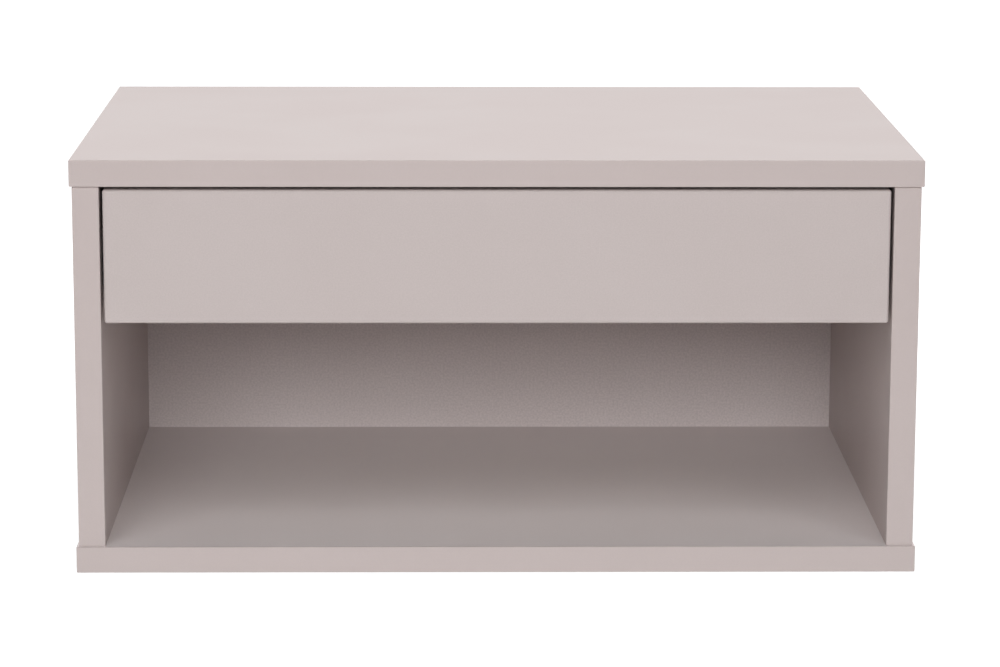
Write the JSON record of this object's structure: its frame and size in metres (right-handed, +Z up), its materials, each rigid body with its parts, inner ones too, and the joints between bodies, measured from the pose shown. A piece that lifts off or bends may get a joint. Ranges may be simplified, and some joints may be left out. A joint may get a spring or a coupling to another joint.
{
  "type": "floating nightstand",
  "caption": "Wall-hung floating nightstand: lacquered box with a handle-less inset drawer on ball-bearing runners above an open shelf niche.",
  "frame": {"origin": "on the wall plane, on the rear face of the back panel, midway between the two keyhole hangers, at the height of the wall screws that they hang on", "axes": "+Y into the wall, +Z up, +X to the right seen from the front; the drawer opens towards -Y"},
  "size_m": [0.6, 0.4, 0.298],
  "materials": {
    "cabinet_lacquer": "satin warm grey lacquer on board",
    "front_lacquer": "fine-textured satin warm grey lacquer on board",
    "back_lacquer": "fine-textured matt warm grey lacquer on board",
    "box_board": "pale matt foil on board",
    "dowel_beech": "bare beech",
    "runner_steel": "rolled and zinc plated",
    "screw_steel": "bright zinc plated",
    "ball_steel": "polished balls in a pressed steel cage",
    "cam_zinc": "die-cast zinc"
  },
  "bodies": {
    "cabinet": {"top_panel": "cabinet_lacquer", "bottom_panel": "cabinet_lacquer", "side_panel_left": "cabinet_lacquer", "side_panel_right": "cabinet_lacquer", "back_panel": "back_lacquer", "hanger_plate_left": "runner_steel", "hanger_plate_right": "runner_steel", "hanger_screw_left_upper": "screw_steel", "hanger_screw_left_lower": "screw_steel", "hanger_screw_right_upper": "screw_steel", "hanger_screw_right_lower": "screw_steel", "cam_left_front": "cam_zinc", "cam_left_rear": "cam_zinc", "cam_right_front": "cam_zinc", "cam_right_rear": "cam_zinc", "cam_bolt_left_front": "screw_steel", "cam_bolt_left_rear": "screw_steel", "cam_bolt_right_front": "screw_steel", "cam_bolt_right_rear": "screw_steel", "connector_screw_left_front": "screw_steel", "connector_screw_left_rear": "screw_steel", "connector_screw_right_front": "screw_steel", "connector_screw_right_rear": "screw_steel", "dowel_top_left": "dowel_beech", "dowel_top_right": "dowel_beech", "dowel_bottom_left": "dowel_beech", "dowel_bottom_right": "dowel_beech", "dowel_back_left_lower": "dowel_beech", "dowel_back_left_upper": "dowel_beech", "dowel_back_right_lower": "dowel_beech", "dowel_back_right_upper": "dowel_beech", "runner_cabinet_left": "runner_steel", "runner_cabinet_right": "runner_steel", "cabinet_runner_screw_left_front": "screw_steel", "cabinet_runner_screw_left_rear": "screw_steel", "cabinet_runner_screw_right_front": "screw_steel", "cabinet_runner_screw_right_rear": "screw_steel"},
    "drawer": {"drawer_front": "front_lacquer", "drawer_box_left": "box_board", "drawer_box_right": "box_board", "drawer_box_front": "box_board", "drawer_box_back": "box_board", "drawer_box_bottom": "box_board", "front_screw_left_lower": "screw_steel", "front_screw_left_upper": "screw_steel", "front_screw_right_lower": "screw_steel", "front_screw_right_upper": "screw_steel", "runner_drawer_left": "runner_steel", "runner_drawer_right": "runner_steel", "drawer_runner_screw_left_front": "screw_steel", "drawer_runner_screw_left_rear": "screw_steel", "drawer_runner_screw_right_front": "screw_steel", "drawer_runner_screw_right_rear": "screw_steel"},
    "middle_member_left": {"runner_middle_left": "runner_steel"},
    "middle_member_right": {"runner_middle_right": "runner_steel"},
    "outer_cage_left": {"ball_cage_outer_left": "ball_steel"},
    "outer_cage_right": {"ball_cage_outer_right": "ball_steel"},
    "inner_cage_left": {"ball_cage_inner_left": "ball_steel"},
    "inner_cage_right": {"ball_cage_inner_right": "ball_steel"}
  },
  "joints": [
    {"name": "drawer_slide", "type": "slide", "parent": "cabinet", "child": "drawer", "axis": [0, -1, 0], "range_m": [0, 0.35]},
    {"name": "middle_slide_left", "type": "slide", "parent": "cabinet", "child": "middle_member_left", "axis": [0, -1, 0], "range_m": [0, 0.175]},
    {"name": "middle_slide_right", "type": "slide", "parent": "cabinet", "child": "middle_member_right", "axis": [0, -1, 0], "range_m": [0, 0.175]},
    {"name": "outer_cage_slide_left", "type": "slide", "parent": "cabinet", "child": "outer_cage_left", "axis": [0, -1, 0], "range_m": [0, 0.0875]},
    {"name": "outer_cage_slide_right", "type": "slide", "parent": "cabinet", "child": "outer_cage_right", "axis": [0, -1, 0], "range_m": [0, 0.0875]},
    {"name": "inner_cage_slide_left", "type": "slide", "parent": "cabinet", "child": "inner_cage_left", "axis": [0, -1, 0], "range_m": [0, 0.2625]},
    {"name": "inner_cage_slide_right", "type": "slide", "parent": "cabinet", "child": "inner_cage_right", "axis": [0, -1, 0], "range_m": [0, 0.2625]}
  ],
  "couplings": [
    {"joint": "middle_slide_left", "follows": "drawer_slide", "ratio": 0.5},
    {"joint": "middle_slide_right", "follows": "drawer_slide", "ratio": 0.5},
    {"joint": "outer_cage_slide_left", "follows": "drawer_slide", "ratio": 0.25},
    {"joint": "outer_cage_slide_right", "follows": "drawer_slide", "ratio": 0.25},
    {"joint": "inner_cage_slide_left", "follows": "drawer_slide", "ratio": 0.75},
    {"joint": "inner_cage_slide_right", "follows": "drawer_slide", "ratio": 0.75}
  ]
}
